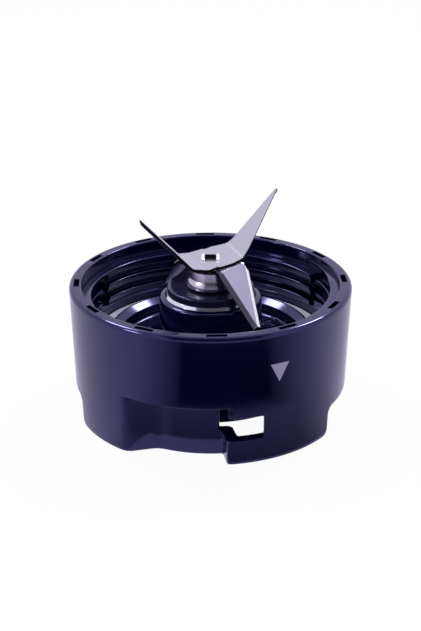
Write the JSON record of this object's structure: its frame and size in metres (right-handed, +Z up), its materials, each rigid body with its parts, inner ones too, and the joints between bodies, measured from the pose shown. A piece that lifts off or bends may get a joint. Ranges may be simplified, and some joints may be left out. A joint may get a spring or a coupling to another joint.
{
  "type": "blender blade assembly",
  "caption": "Black threaded collar with bayonet slots in its skirt, carrying bent steel blades on a sealed shaft with a dog coupling below.",
  "frame": {"origin": "centre of the foot plane, on the shaft axis", "axes": "+Z up along the shaft, -Y towards the front slot and pointer mark, +X to the right"},
  "size_m": [0.086, 0.086, 0.0659],
  "materials": {
    "black_plastic": "glossy moulded black",
    "gasket_rubber": "smooth silicone rubber",
    "cap_plastic": "satin black moulding",
    "seal_rubber": "nitrile rubber",
    "spring_steel": "hardened, plain",
    "bright_steel": "turned, bright",
    "polished_steel": "polished",
    "blade_steel": "satin, ground edges",
    "bronze": "sintered bronze",
    "brass": "turned brass",
    "felt": "oiled felt",
    "plate_plastic": "fine textured black",
    "coupling_plastic": "glass-filled black"
  },
  "bodies": {
    "collar": {"collar_housing": "black_plastic", "jar_gasket": "gasket_rubber", "seal_cap": "cap_plastic", "shaft_seal": "seal_rubber", "seal_spring": "spring_steel", "cap_o_ring": "seal_rubber", "bearing_sleeve": "bright_steel", "upper_bush": "bronze", "lower_bush": "bronze", "oil_felt": "felt", "upper_thrust_washer": "spring_steel", "lower_thrust_washer": "spring_steel", "retainer_plate": "plate_plastic", "retainer_screws": "bright_steel"},
    "rotor": {"drive_shaft": "bright_steel", "bell_sleeve": "polished_steel", "blade_washer": "spring_steel", "lower_blade": "blade_steel", "upper_blade": "blade_steel", "retaining_clip": "spring_steel", "drive_coupling": "coupling_plastic", "coupling_insert": "brass"}
  },
  "joints": [
    {"name": "blade_spin", "type": "hinge", "parent": "collar", "child": "rotor", "pos_m": [0, 0, 0.03], "axis": [0, 0, 1], "continuous": true}
  ]
}
